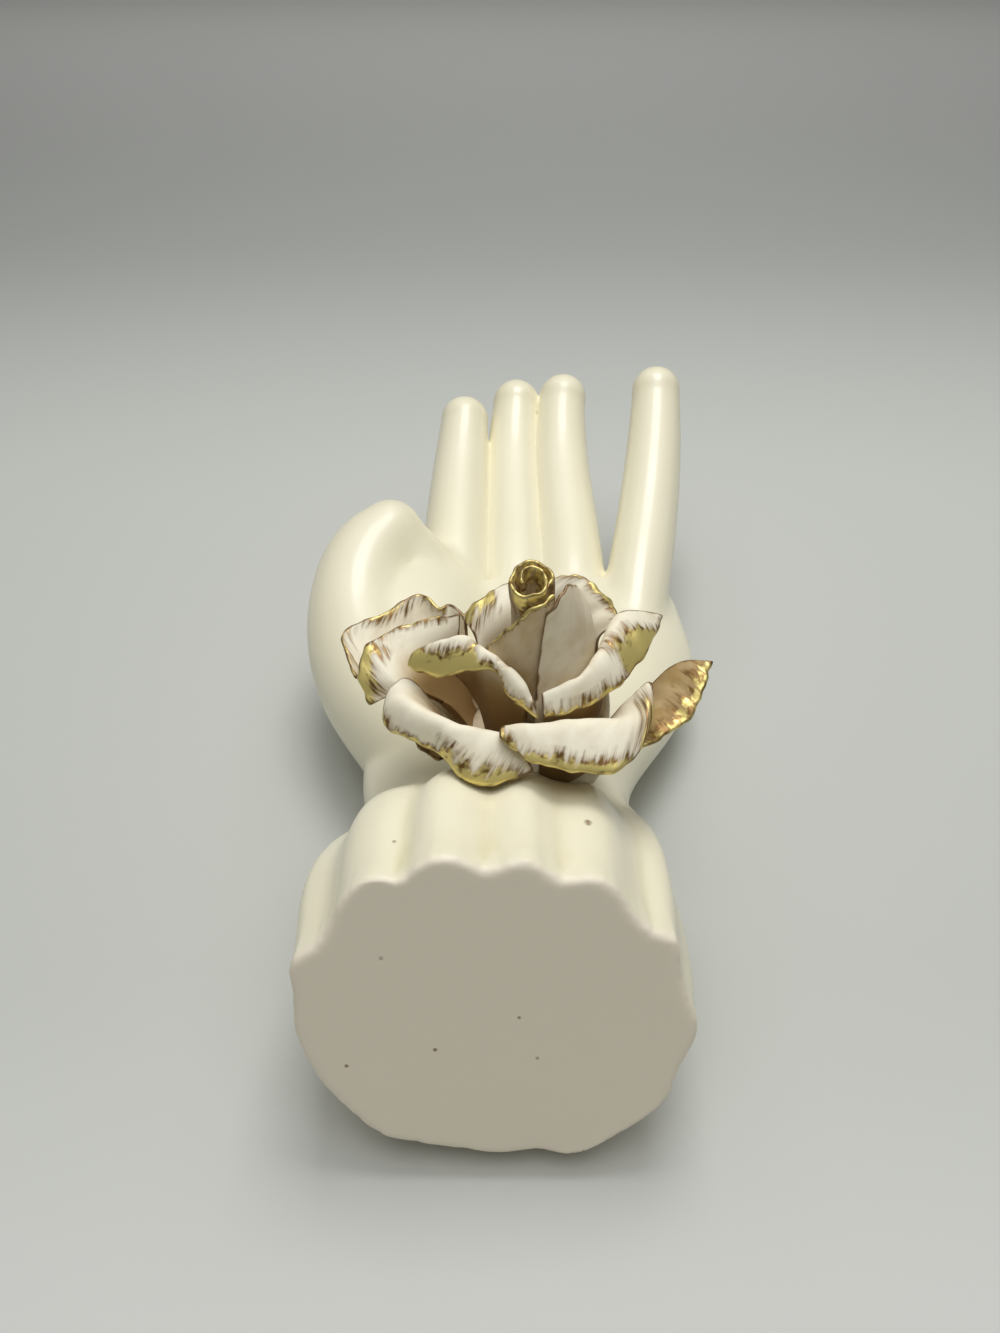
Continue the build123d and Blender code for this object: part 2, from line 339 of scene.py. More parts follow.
# Clay that fills the fork between thumb and palm: centre and radii
thumb_web = [
    ((-23.5, 29.5, 30.5), (8.5, 10.0, 11.0)),
    ((-22.0, 15.0, 27.5), (15.0, 22.0, 10.5)),
]
web_middle = Vector((-21.0, 19.0, 38.0)) * mm
web_spread = (10.0 * mm, 25.0 * mm)

# Iron specks: place and radius
specks = [
    ((11.6, -72.5, 51.9), 0.85),
    ((-18.8, -76.9, 52.6), 0.45),
    ((-20.4, -90.7, 42.0), 0.45),
    ((0.6, -94.4, 31.6), 0.4),
    ((-12.6, -96.5, 25.8), 0.45),
    ((-26.7, -97.6, 22.8), 0.45),
    ((3.5, -97.1, 24.3), 0.4),
]


# Tables of the rose


class Petal:
    """A petal's net round the rose's axis, and the gold brushed in from its lip.

    The turns are where the columns stand at the foot and the belly. The foot and belly give reach and
    height, the crest and lip give turn, reach and height for each column, all heights above the core's
    widest part. Each stroke of gold has its start and end along the lip as shares, its depth from the
    lip and its strength. The tones are how tan the clay is all over, partly painted shade, and how much
    painted shade darkens it at the foot.
    """

    def __init__(self, turns, foot, belly, crest, lip, strokes, tan_and_shade=0.0, foot_shade=1.0):
        self.rows = [
            [(turn, *foot) for turn in turns],
            [(turn, *belly) for turn in turns],
            crest,
            lip,
        ]
        self.strokes = strokes
        self.tones = (tan_and_shade, foot_shade)


rose_axis = (4.0, -43.13)
core_height = 40.0
core_grain = 0.6 * mm
core_softening = 6
core_tones = (0.3, 0.0)
bud_rise = 6.0
bud_lean = (-0.04, -0.045)

# Grid of a petal, and shares of its rise where its rim begins, waves and is nibbled
petal_rows = 30
petal_columns = 48
rim_start = 0.45
ruffle_range = (0.35, 1.0)
ruffle_pitch = 11 * mm
nibble_range = (0.8, 1.0)
nibble_pitch = 6.5 * mm
nibble_seed = 5.0

# Waves that make a rim uneven: size, rate and shift from one petal to the next
rim_waves = [(1.0, 1.0, 1.7), (0.7, 1.83, 2.9), (0.45, 3.1, 1.0)]

# Extra width at the foot's sides, width of the thin rim, and shares over which a stroke starts and ends
foot_margin = 4 * mm
thin_rim = 3.5 * mm
stroke_outside = 0.06
stroke_inside = 0.05

# Distance that keeps one petal's pattern apart from the next, and the core away from any rim
pattern_gap = 60.0
no_rim = 9.0

petals = {
    "petal_back_left": Petal(
        turns=[72, 92, 108, 124, 140, 156],
        foot=(13.3, 1.0),
        belly=(11.4, 13.0),
        crest=[
            (79, 12.5, 21.4), (93, 12.8, 24.0), (106, 12.7, 24.7),
            (119, 12.6, 24.2), (131, 13.0, 23.2), (143, 14.4, 20.8),
        ],
        lip=[
            (79, 16.7, 21.4), (91, 17.8, 24.4), (103, 17.4, 25.6),
            (115, 16.9, 25.6), (127, 16.9, 24.6), (139, 17.8, 21.4),
        ],
        strokes=[
            (0.62, 1.0, 6.0, 0.8),
            (0.0, 0.5, 1.4, 0.5),
        ],
        foot_shade=0.1,
    ),
    "petal_back_right": Petal(
        turns=[10, 26, 42, 58, 74, 92],
        foot=(13.8, 1.0),
        belly=(12.9, 13.0),
        crest=[
            (22, 13.2, 23.5), (34, 13.1, 25.5), (46, 12.6, 27.0),
            (58, 12.2, 27.8), (71, 11.9, 27.4), (88, 11.8, 24.8),
        ],
        lip=[
            (20, 16.0, 24.5), (32, 16.2, 27.0), (45, 15.2, 29.5),
            (58, 14.6, 30.6), (70, 14.2, 29.8), (86, 14.0, 26.8),
        ],
        strokes=[
            (0.0, 0.48, 2.0, 0.8),
            (0.56, 1.0, 1.2, 0.6),
        ],
        foot_shade=0.6,
    ),
    "petal_right_inner": Petal(
        turns=[276, 300, 325, 348, 368],
        foot=(8.5, 5.0),
        belly=(11.6, 14.0),
        crest=[
            (272, 12.1, 23.5), (299, 11.8, 24.6), (326, 11.8, 25.9),
            (350, 12.7, 27.4), (374, 15.2, 28.8),
        ],
        lip=[
            (273, 14.3, 20.5), (301, 14.4, 20.8), (327, 15.8, 22.1),
            (351, 18.5, 24.2), (375, 23.6, 26.5),
        ],
        strokes=[
            (0.0, 0.58, 3.0, 0.7),
            (0.62, 0.88, 9.0, 1.25),
            (0.9, 1.0, 1.6, 0.5),
        ],
        foot_shade=1.3,
    ),
    "petal_front_left_inner": Petal(
        turns=[198, 209, 225, 242, 259],
        foot=(8.8, 4.5),
        belly=(10.4, 14.0),
        crest=[
            (190, 21.4, 25.7), (195, 15.0, 27.8), (212, 10.9, 27.6),
            (240, 11.0, 27.0), (267, 14.6, 24.0),
        ],
        lip=[
            (192, 22.6, 24.0), (203, 17.9, 23.0), (226, 11.8, 26.0),
            (248, 13.0, 23.4), (270, 15.7, 21.6),
        ],
        strokes=[
            (0.0, 0.45, 6.5, 1.4),
            (0.45, 0.8, 3.0, 0.9),
            (0.8, 1.0, 3.4, 1.0),
        ],
        foot_shade=1.5,
    ),
    "petal_left": Petal(
        turns=[154, 165, 176, 185, 193],
        foot=(11.4, 3.0),
        belly=(15.0, 11.5),
        crest=[
            (152, 15.4, 22.8), (163, 20.0, 22.4), (174, 25.0, 21.6),
            (186, 26.8, 20.2), (192, 25.6, 17.6),
        ],
        lip=[
            (148, 15.9, 25.0), (160, 21.9, 24.2), (172, 29.2, 22.4),
            (184, 31.3, 20.0), (192, 29.8, 15.8),
        ],
        strokes=[
            (0.55, 1.0, 5.5, 0.95),
            (0.1, 0.5, 1.8, 0.6),
        ],
        foot_shade=1.9,
    ),
    "petal_left_outer": Petal(
        turns=[138, 144, 150, 156, 162, 168, 174, 180],
        foot=(12.8, 1.0),
        belly=(16.6, 7.5),
        crest=[
            (140, 16.4, 17.6), (140, 18.8, 18.2), (143, 20.8, 18.0), (147, 24.0, 18.2),
            (156, 26.6, 18.0), (167, 29.6, 18.4), (175, 29.0, 17.4), (181, 28.4, 16.2),
        ],
        lip=[
            (140, 16.8, 22.4), (137, 21.1, 22.8), (142, 22.8, 22.6), (142, 27.8, 23.2),
            (155, 30.5, 22.0), (167, 35.3, 21.8), (176, 33.8, 20.0), (182, 32.2, 17.8),
        ],
        strokes=[
            (0.2, 0.42, 3.4, 0.6),
            (0.5, 0.64, 3.2, 0.6),
            (0.7, 1.0, 2.4, 0.5),
        ],
        foot_shade=0.6,
    ),
    "petal_front_left": Petal(
        turns=[204, 212, 220, 228, 236, 244, 251, 257],
        foot=(13.4, 4.0),
        belly=(17.0, 11.0),
        crest=[
            (194, 23.0, 21.8), (200, 25.4, 21.0), (208, 24.6, 20.7), (217, 23.2, 20.6),
            (227, 22.0, 20.3), (237, 20.6, 19.8), (247, 18.9, 19.0), (257, 17.4, 18.0),
        ],
        lip=[
            (197, 26.4, 20.4), (204, 28.6, 16.8), (211, 26.9, 16.0), (220, 24.9, 15.8),
            (231, 24.4, 15.2), (243, 25.6, 14.1), (255, 24.0, 14.2), (268, 20.6, 14.6),
        ],
        strokes=[
            (0.0, 0.2, 4.0, 0.7),
            (0.2, 0.55, 1.8, 0.9),
            (0.55, 0.92, 5.8, 0.9),
        ],
        foot_shade=1.2,
    ),
    "petal_front_right": Petal(
        turns=[268, 275, 282, 290, 299, 309, 320],
        foot=(13.0, 3.0),
        belly=(14.8, 13.0),
        crest=[
            (250, 18.2, 21.2), (262, 17.8, 21.1), (275, 17.9, 20.9), (288, 18.6, 20.8),
            (301, 20.4, 21.0), (316, 22.8, 21.6), (335, 19.8, 22.8),
        ],
        lip=[
            (251, 19.9, 20.6), (261, 21.3, 18.6), (273, 22.8, 17.6), (286, 24.4, 17.0),
            (298, 26.8, 17.6), (314, 25.2, 20.2), (337, 20.8, 23.2),
        ],
        strokes=[
            (0.0, 0.16, 2.8, 0.8),
            (0.2, 0.72, 3.6, 1.0),
            (0.76, 0.96, 4.2, 0.6),
        ],
        foot_shade=1.2,
    ),
    "petal_right": Petal(
        turns=[322, 329, 336, 345, 353],
        foot=(12.8, 1.0),
        belly=(16.4, 7.5),
        crest=[
            (316, 19.4, 14.2), (326, 21.6, 15.9), (336, 23.4, 18.0),
            (346, 24.6, 20.2), (355, 25.0, 22.4),
        ],
        lip=[
            (314, 22.9, 15.0), (325, 25.7, 16.6), (335, 28.5, 19.0),
            (345, 29.4, 21.6), (354, 30.4, 23.7),
        ],
        strokes=[
            (0.0, 0.5, 4.0, 0.6),
            (0.45, 1.0, 6.5, 0.65),
        ],
        foot_shade=0.6,
        tan_and_shade=0.9,
    ),
    "petal_under_left": Petal(
        turns=[196, 202, 208, 214, 221],
        foot=(13.0, 0.5),
        belly=(16.6, 4.5),
        crest=[
            (196, 21.3, 11.1), (202, 21.1, 10.9), (208, 20.7, 10.7),
            (214, 20.4, 10.5), (221, 20.0, 10.4),
        ],
        lip=[
            (196, 24.4, 12.6), (202, 24.4, 12.4), (208, 24.1, 12.0),
            (214, 23.3, 11.6), (221, 22.2, 11.1),
        ],
        strokes=[
            (0.0, 1.0, 2.0, 0.4),
        ],
        tan_and_shade=0.5,
    ),
}
# The left wrap is more tan than the right, partly as painted shade
wraps = {
    "bud_wrap_left": Petal(
        turns=[196, 222, 250, 282, 318],
        foot=(5.3, 6.5),
        belly=(7.4, 18.0),
        crest=[
            (194, 8.7, 22.0), (216, 7.8, 24.7), (245, 6.6, 27.5),
            (280, 5.5, 30.0), (320, 5.0, 32.0),
        ],
        lip=[
            (192, 8.6, 25.5), (209, 7.4, 29.4), (234, 6.0, 33.6),
            (268, 5.0, 37.2), (325, 4.6, 38.4),
        ],
        strokes=[
            (0.0, 1.0, 1.1, 0.9),
        ],
        tan_and_shade=0.65,
        foot_shade=0.35,
    ),
    "bud_wrap_right": Petal(
        turns=[270, 292, 316, 342, 368],
        foot=(8.0, 6.0),
        belly=(9.6, 18.0),
        crest=[
            (278, 6.8, 28.0), (305, 7.3, 29.8), (333, 8.3, 30.4),
            (361, 9.4, 30.0), (386, 10.0, 27.0),
        ],
        lip=[
            (293, 5.7, 36.4), (322, 5.6, 38.6), (351, 6.0, 39.0),
            (379, 7.4, 36.6), (406, 9.4, 31.4),
        ],
        strokes=[
            (0.5, 1.0, 1.2, 0.5),
        ],
        tan_and_shade=0.3,
        foot_shade=0.35,
    ),
}

# Bud roll
roll_rows = 40
roll_columns = 80
roll_height = 33.7
roll_turns = 1.7
roll_closed_turns = 0.8
roll_radius = 3.15
roll_pitch = 2.0
roll_flare = 0.35
roll_flare_range = (0.86, 1.0)
roll_flare_loss = 0.6
roll_start = 40.0
roll_slope = 16.0
roll_strokes = [(0.0, 0.4, 4.0, 0.6), (0.4, 1.0, 8.0, 0.7)]
roll_tones = (0.6, 0.6)
roll_seed = 21
roll_rim_start = 2.0


# Mesh helpers


def only(*pieces):
    """Select these objects alone and make the first of them active."""
    bpy.ops.object.select_all(action="DESELECT")
    for piece in pieces:
        piece.select_set(True)
    bpy.context.view_layer.objects.active = pieces[0]


def finish_modifiers(piece):
    """Apply all of a piece's modifiers in their order."""
    only(piece)
    for modifier in list(piece.modifiers):
        bpy.ops.object.modifier_apply(modifier=modifier.name)


def points_of(piece, key="co"):
    """The mesh's points, or with another key their normals, as an array."""
    flat = np.zeros(len(piece.data.vertices) * 3)
    piece.data.vertices.foreach_get(key, flat)
    return flat.reshape(-1, 3)


def set_points(piece, points):
    """Move the mesh's points to those of an array."""
    piece.data.vertices.foreach_set("co", np.ascontiguousarray(points, dtype=np.float32).ravel())
    piece.data.update()


def set_vectors(piece, name, vectors):
    """Keep three values for each point under a name that a material can read."""
    attribute = piece.data.attributes.new(name, "FLOAT_VECTOR", "POINT")
    attribute.data.foreach_set("vector", np.ascontiguousarray(vectors, dtype=np.float32).ravel())


def ease(low, high, values):
    """Rises smoothly from 0 at the low value to 1 at the high one."""
    share = np.clip((np.asarray(values, float) - low) / (high - low), 0, 1)
    return share * share * (3 - 2 * share)


weight_levels = 20


def weigh(piece, name, weights):
    """A vertex group that holds one weight for each point, in even levels."""
    group = piece.vertex_groups.new(name=name)
    levels = np.rint(np.clip(weights, 0, 1) * weight_levels).astype(int)
    for level in range(1, weight_levels + 1):
        group.add(np.flatnonzero(levels == level).tolist(), level / weight_levels, "REPLACE")
    return name


def soften(piece, rounds, group=""):
    """Smooth a piece, by the weights of a group if one is named."""
    smooth = piece.modifiers.new("soften", "SMOOTH")
    smooth.factor = 0.5
    smooth.iterations = rounds
    smooth.vertex_group = group
    finish_modifiers(piece)


def copy_of_nodes(name, nodes):
    """A merged copy of some solids as one new object."""
    copies = []
    for node in nodes:
        only(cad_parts[node])
        bpy.ops.object.duplicate()
        copies.append(bpy.context.active_object)
    only(*copies)
    if len(copies) > 1:
        bpy.ops.object.join()
    piece = bpy.context.active_object
    piece.name = name
    piece.data.name = name
    for key in list(piece.keys()):
        del piece[key]
    piece.parent = None
    piece.data.materials.clear()
    bpy.ops.object.mode_set(mode="EDIT")
    bpy.ops.mesh.select_all(action="SELECT")
    bpy.ops.mesh.remove_doubles(threshold=weld_gap)
    bpy.ops.object.mode_set(mode="OBJECT")
    return piece


def add_lumps(piece, lumps):
    """Join rounded lumps of clay to a piece, each with its centre and radii."""
    added = []
    for centre, radii in lumps:
        bpy.ops.mesh.primitive_uv_sphere_add(segments=48, ring_count=24, radius=mm)
        lump = bpy.context.active_object
        lump.location = [value * mm for value in centre]
        lump.scale = radii
        bpy.ops.object.transform_apply()
        added.append(lump)
    only(piece, *added)
    if added:
        bpy.ops.object.join()


def remeshed_skin(name, nodes, grain, lumps=()):
    """The outer skin of some solids and lumps as one even mesh, without the hollow inside them."""
    piece = copy_of_nodes(name, nodes)
    add_lumps(piece, lumps)
    remesh = piece.modifiers.new("grain", "REMESH")
    remesh.mode = "VOXEL"
    remesh.voxel_size = grain
    finish_modifiers(piece)
    bpy.ops.mesh.separate(type="LOOSE")
    shells = sorted(bpy.context.selected_objects, key=lambda shell: max(shell.dimensions))
    skin = shells.pop()
    for shell in shells:
        bpy.data.objects.remove(shell)
    skin.name = name
    only(skin)
    return skin


def attach(piece, nodes, material):
    """Give a finished piece its material and tie it to the frame."""
    piece.data.materials.clear()
    piece.data.materials.append(material)
    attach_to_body(piece, "root")
    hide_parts(*nodes)


def spline_through(knots, values, places):
    """A natural cubic spline through values at its knots, read at the given places."""
    knots = np.asarray(knots, float)
    values = np.asarray(values, float)
    gaps = np.diff(knots)
    count = len(knots)
    matrix = np.zeros((count, count))
    target = np.zeros(values.shape)
    matrix[0, 0] = 1
    matrix[-1, -1] = 1
    for k in range(1, count - 1):
        matrix[k, k - 1] = gaps[k - 1]
        matrix[k, k] = 2 * (gaps[k - 1] + gaps[k])
        matrix[k, k + 1] = gaps[k]
        rise = (values[k + 1] - values[k]) / gaps[k] - (values[k] - values[k - 1]) / gaps[k - 1]
        target[k] = 6 * rise
    bends = np.tensordot(np.linalg.inv(matrix), target, axes=1)
    result = []
    for place in places:
        k = int(np.clip(np.searchsorted(knots, place) - 1, 0, count - 2))
        gap = gaps[k]
        left = (knots[k + 1] - place) / gap
        right = 1 - left
        cube = ((left**3 - left) * bends[k] + (right**3 - right) * bends[k + 1]) * gap**2 / 6
        result.append(left * values[k] + right * values[k + 1] + cube)
    return np.array(result)


# Materials


class Shader:
    """A new material with short ways to add and wire its nodes."""

    def __init__(self, name):
        self.material = bpy.data.materials.new(name)
        self.material.use_nodes = True
        self.tree = self.material.node_tree
        self.tree.nodes.clear()
        self.surface = self.node("ShaderNodeBsdfPrincipled")
        output = self.node("ShaderNodeOutputMaterial")
        self.tree.links.new(self.surface.outputs["BSDF"], output.inputs["Surface"])

    def node(self, kind, **settings):
        node = self.tree.nodes.new(kind)
        for key, value in settings.items():
            setattr(node, key, value)
        return node

    def feed(self, socket, value):
        """Wire a socket to an output, or set it to a plain value or colour."""
        if isinstance(value, bpy.types.NodeSocket):
            self.tree.links.new(value, socket)
        elif socket.type == "RGBA":
            socket.default_value = (*value, 1)
        else:
            socket.default_value = value

    def set(self, name, value):
        self.feed(self.surface.inputs[name], value)

    def object_place(self):
        return self.node("ShaderNodeTexCoord").outputs["Object"]

    def vector(self, name):
        """The three values kept on the mesh under a name."""
        attribute = self.node("ShaderNodeAttribute", attribute_name=name)
        split = self.node("ShaderNodeSeparateXYZ")
        self.feed(split.inputs["Vector"], attribute.outputs["Vector"])
        return split.outputs["X"], split.outputs["Y"], split.outputs["Z"]

    def combine(self, x, y, z):
        node = self.node("ShaderNodeCombineXYZ")
        for name, value in zip("XYZ", (x, y, z)):
            self.feed(node.inputs[name], value)
        return node.outputs["Vector"]

    def math(self, operation, first, second=0.0, clamp=False):
        node = self.node("ShaderNodeMath", operation=operation, use_clamp=clamp)
        self.feed(node.inputs[0], first)
        self.feed(node.inputs[1], second)
        return node.outputs["Value"]

    def ease(self, value, low, high, start=0.0, end=1.0):
        """Goes smoothly from the start to the end while the value goes from low to high."""
        node = self.node("ShaderNodeMapRange", interpolation_type="SMOOTHSTEP")
        self.feed(node.inputs["Value"], value)
        self.feed(node.inputs["From Min"], low)
        self.feed(node.inputs["From Max"], high)
        self.feed(node.inputs["To Min"], start)
        self.feed(node.inputs["To Max"], end)
        return node.outputs["Result"]

    def noise(self, place, scale, detail=2.0, distortion=0.0):
        node = self.node("ShaderNodeTexNoise")
        self.feed(node.inputs["Vector"], place)
        self.feed(node.inputs["Scale"], scale)
        self.feed(node.inputs["Detail"], detail)
        self.feed(node.inputs["Distortion"], distortion)
        return node.outputs["Fac"]

    def mix(self, factor, first, second):
        node = self.node("ShaderNodeMix", data_type="RGBA")
        self.feed(node.inputs["Factor"], factor)
        self.feed(node.inputs["A"], first)
        self.feed(node.inputs["B"], second)
        return node.outputs["Result"]

    def blend(self, factor, first, second):
        node = self.node("ShaderNodeMix", data_type="FLOAT")
        self.feed(node.inputs["Factor"], factor)
        self.feed(node.inputs["A"], first)
        self.feed(node.inputs["B"], second)
        return node.outputs["Result"]

    def bump(self, height, strength, distance):
        node = self.node("ShaderNodeBump")
        self.feed(node.inputs["Height"], height)
        self.feed(node.inputs["Strength"], strength)
        self.feed(node.inputs["Distance"], distance)
        self.set("Normal", node.outputs["Normal"])

    def spot(self, place, centre, radius):
        """One inside a ball about a point, soft at its edge, and nothing outside it."""
        gap = self.node("ShaderNodeVectorMath", operation="DISTANCE")
        self.feed(gap.inputs[0], place)
        gap.inputs[1].default_value = centre
        return self.ease(gap.outputs["Value"], 0.45 * radius, radius, 1.0, 0.0)


def glaze_material(casting):
    """Cream glaze, darker and yellower in the hollows as pooled glaze and painted crease shade, with iron
    specks.
    """
    shader = Shader("cream_glaze")
    place = shader.object_place()
    hollow, wiped, _ = shader.vector("relief")
    cloud = shader.ease(shader.noise(place, scale=34.0, detail=3.0), 0.4, 0.7, 0.0, 0.1)
    # Creases take the pooled colour: thicker glaze there, and painted crease shade
    depth = shader.math("ADD", shader.math("MULTIPLY", hollow, 0.75), cloud, clamp=True)
    colour = shader.mix(depth, casting.cream, casting.pooled_and_shaded)
    colour = shader.mix(wiped, colour, casting.wiped)
    broken = shader.ease(shader.noise(place, scale=900.0), 0.3, 0.55, 0.45, 0.9)
    marks = 0.0
    for centre, radius in specks:
        spot = shader.spot(place, [value * mm for value in centre], radius * mm)
        marks = shader.math("MAXIMUM", marks, spot)
    marks = shader.math("MULTIPLY", marks, broken)
    cells = shader.node("ShaderNodeTexVoronoi", feature="F1")
    shader.feed(cells.inputs["Vector"], place)
    shader.feed(cells.inputs["Scale"], 95.0)
    pick = shader.node("ShaderNodeSeparateColor")
    shader.feed(pick.inputs["Color"], cells.outputs["Color"])
    chosen = shader.ease(pick.outputs["Red"], 0.86, 0.9)
    size = shader.math("MULTIPLY", pick.outputs["Green"], 0.035)
    dot = shader.math("LESS_THAN", cells.outputs["Distance"], size)
    faint = shader.math("MULTIPLY", shader.math("MULTIPLY", dot, chosen), 0.4)
    marks = shader.math("MAXIMUM", marks, faint)
    shader.set("Base Color", shader.mix(marks, colour, casting.speck))
    gloss = shader.ease(shader.noise(place, scale=60.0), 0.3, 0.7, 0.3, 0.4)
    shader.set("Roughness", shader.blend(wiped, gloss, 0.6))
    shader.set("Coat Weight", shader.blend(wiped, 0.2, 0.0))
    shader.set("Coat Roughness", 0.12)
    shader.bump(shader.noise(place, scale=210.0), strength=0.12, distance=0.12 * mm)
    return shader.material


def petal_material(rose):
    """Matt bisque, darkened towards each petal's foot as painted shade, with gold lustre brushed in dry
    strokes from the rims.
    """
    shader = Shader("gilded_bisque")
    across, inward, rim = shader.vector("sheet")
    # The second vector holds the gold, the rise that sets painted shade at the foot, and the tan, partly
    # painted shade
    gilding, rise, tan_and_shade = shader.vector("gilt_and_shade")
    flat = shader.combine(across, inward, 0.0)
    combed = shader.combine(across, shader.math("MULTIPLY", inward, 0.16), 0.0)
    streak = shader.math("MULTIPLY", shader.noise(combed, scale=1.15, detail=3.0, distortion=0.3), 1.5)
    blot = shader.noise(flat, scale=0.3)
    ragged = shader.math("ADD", streak, shader.math("MULTIPLY", blot, 0.7))
    reach = shader.math("SUBTRACT", gilding, shader.math("SUBTRACT", ragged, 0.78))
    present = shader.ease(gilding, 0.0, 0.1)
    brushed = shader.math("MULTIPLY", shader.ease(reach, -0.08, 0.26), present)
    washed = shader.math("MULTIPLY", shader.ease(reach, -0.4, 0.2), present)
    uneven = shader.math("ADD", rim, shader.math("MULTIPLY", shader.math("SUBTRACT", blot, 0.5), 1.2))
    edge = shader.ease(uneven, 0.1, 0.55, 1.0, 0.0)
    lustre = shader.math("MAXIMUM", brushed, shader.math("MULTIPLY", edge, 0.92))
    tint = shader.noise(flat, scale=0.7, detail=3.0)
    mottle = shader.math("MULTIPLY", shader.math("SUBTRACT", tint, 0.5), 1.6)
    shine = shader.ease(shader.math("ADD", gilding, mottle), 0.3, 0.72)
    gold = shader.mix(shine, rose.deep_gold_and_shade, rose.gold)
    burnt = shader.ease(shader.noise(flat, scale=0.22), 0.42, 0.6, 0.0, 0.8)
    gold = shader.mix(shader.math("MULTIPLY", edge, burnt), gold, rose.rim_line)
    grime = shader.ease(shader.noise(flat, scale=0.18, detail=3.0), 0.38, 0.75, 0.0, 0.3)
    # Painted shade: the clay darkens towards each petal's foot
    low = shader.ease(rise, 0.68, 0.25, 0.0, 0.95)
    # Tan, partly painted shade, adds to the painted foot shade and to random grime
    shade = shader.math("ADD", tan_and_shade, low, clamp=True)
    shade = shader.math("ADD", shade, grime, clamp=True)
    clay = shader.mix(shade, rose.bisque, rose.bisque_shade)
    # Painted shade: the deepest part of each foot turns deep brown
    clay = shader.mix(shader.ease(rise, 0.5, 0.15, 0.0, 0.8), clay, rose.deep_gold_and_shade)
    clay = shader.mix(shader.math("MULTIPLY", washed, 0.5), clay, rose.deep_gold_and_shade)
    shader.set("Base Color", shader.mix(lustre, clay, gold))
    shader.set("Metallic", shader.math("MULTIPLY", lustre, 0.55))
    shader.set("Roughness", shader.blend(lustre, 0.72, 0.34))
    grain = shader.math("MULTIPLY", shader.noise(flat, scale=2.2, detail=3.0), 0.6)
    shader.bump(shader.math("ADD", grain, lustre), strength=0.25, distance=0.12 * mm)
    return shader.material


# Stage

floor_size = 12.0
behind_range = (0.1, 0.4)
far_range = (0.4, 1.3)
front_range = (-0.06, -0.14)
ceiling_place = (0.0, 0.3, 1.2)
ceiling_sizes = (1.6, 1.8)
front_place = (0.0, -0.3, 0.9)
front_sizes = (0.5, 0.5)
lamp_place = (0.06, 0.17, 0.7)
lamp_sizes = (0.3, 0.3)
room_tint = (1.0, 1.0, 0.985, 1)
sensor_width = 36
nearest_view = 0.01


def hang_panel(name, place, sizes, power):
    """A soft lamp that faces straight down."""
    bpy.ops.object.light_add(type="AREA", location=place)
    panel = bpy.context.active_object
    panel.name = name
    panel.data.shape = "RECTANGLE"
    panel.data.size, panel.data.size_y = sizes
    panel.data.energy = power


class ROSEHAND_OT_stage(bpy.types.Operator):
    """Lay the pale floor, hang the lamps and set the camera"""

    bl_idname = "rosehand.stage"
    bl_label = "Stage"

    def execute(self, context):
        stage = context.scene.rosehand_stage
        bpy.ops.object.select_all(action="DESELECT")
        bpy.ops.mesh.primitive_plane_add(size=floor_size, location=(0, 0, 0))
        floor = context.active_object
        floor.name = "floor"
        paper = Shader("floor_paper")
        place = paper.object_place()
        split = paper.node("ShaderNodeSeparateXYZ")
        paper.feed(split.inputs["Vector"], place)
        # Painted light and shade: the paper's tone changes along its length
        behind = paper.ease(split.outputs["Y"], *behind_range)
        far = paper.ease(split.outputs["Y"], *far_range)
        front = paper.ease(split.outputs["Y"], *front_range)
        near = paper.mix(front, stage.floor_near, stage.floor_front_light)
        tone = paper.mix(behind, near, stage.floor_behind_shade)
        paper.set("Base Color", paper.mix(far, tone, stage.floor_far))
        paper.set("Roughness", paper.ease(paper.noise(place, 25.0), 0.3, 0.7, 0.8, 0.9))
        paper.set("Specular IOR Level", 0.2)
        floor.data.materials.append(paper.material)
        hang_panel("ceiling", ceiling_place, ceiling_sizes, stage.ceiling_power)
        hang_panel("front", front_place, front_sizes, stage.front_power)
        hang_panel("lamp", lamp_place, lamp_sizes, stage.lamp_power)
        world = bpy.data.worlds.new("room")
        world.use_nodes = True
        background = world.node_tree.nodes["Background"]
        background.inputs["Color"].default_value = room_tint
        background.inputs["Strength"].default_value = stage.room_level
        context.scene.world = world
        bpy.ops.object.camera_add(
            location=stage.camera_place, rotation=(math.pi / 2 - stage.camera_pitch, 0, 0)
        )
        camera = context.active_object
        camera.name = "camera"
        camera.data.lens = stage.camera_lens
        camera.data.sensor_width = sensor_width
        camera.data.clip_start = nearest_view
        context.scene.camera = camera
        context.scene.view_settings.view_transform = "Standard"
        return {"FINISHED"}


# Hand and base


def cuff_places(points):
    """Where points lie on the cuff: depth behind the base face, turn, reach, and its two parts."""
    rise = base_centre.z / mm
    stations = np.array([(side, run, height - rise) for run, side, height in cuff_centres]) * mm
    depths = stations @ -np.array(base_normal)
    offsets = points - np.array(base_centre)
    depth = offsets @ -np.array(base_normal)
    across = offsets[:, 0] - np.interp(depth, depths, stations[:, 0])
    up = offsets @ np.array(base_up) - np.interp(depth, depths, stations @ np.array(base_up))
    return depth, np.degrees(np.arctan2(up, across)) % 360, np.hypot(across, up), across, up


